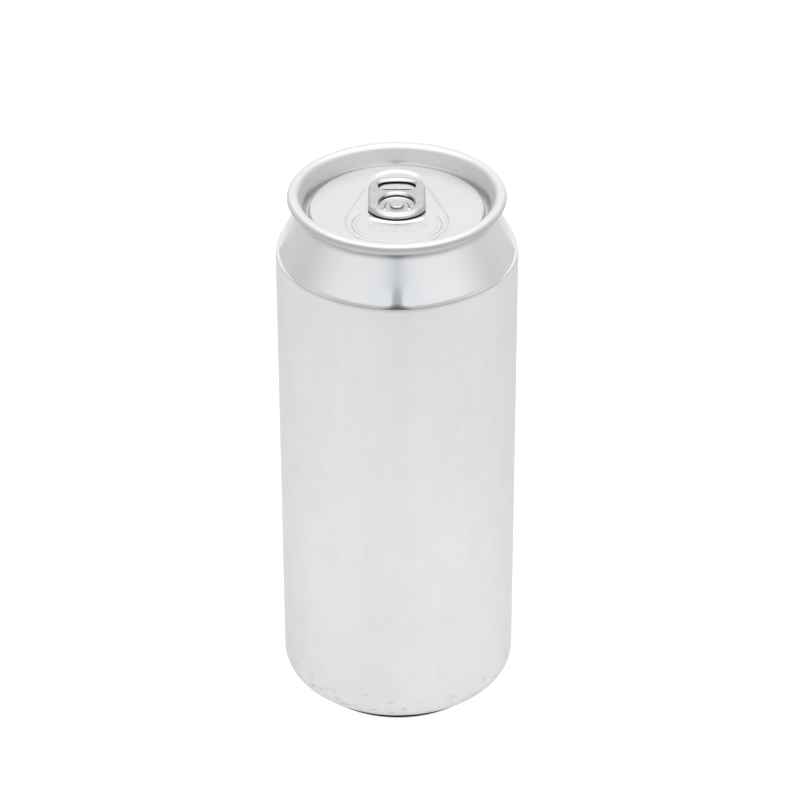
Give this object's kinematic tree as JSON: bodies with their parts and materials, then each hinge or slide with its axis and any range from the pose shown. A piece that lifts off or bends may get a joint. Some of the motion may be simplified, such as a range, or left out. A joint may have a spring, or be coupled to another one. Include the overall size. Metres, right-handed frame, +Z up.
{
  "type": "aluminium drinks can",
  "caption": "Tall straight-walled drinks can in bare aluminium, with a necked-in top, a domed base and a curled lid that carries a stay-on pull tab",
  "frame": {"origin": "centre of the base ring's standing plane, directly under the can's axis", "axes": "+Z up along the can's axis; the mouth and the tab's nose point to -Y, the tab's heel to +Y; +X to the right when the mouth faces the viewer"},
  "size_m": [0.0662, 0.0662, 0.158],
  "materials": {
    "body": "fine satin wall, polished above the shoulder",
    "lid": "smooth rolled sheet, half gloss",
    "tab": "smooth rolled sheet, half gloss"
  },
  "bodies": {
    "root": {"can_body": "body", "lid": "lid", "pull_tab": "tab"}
  },
  "joints": []
}
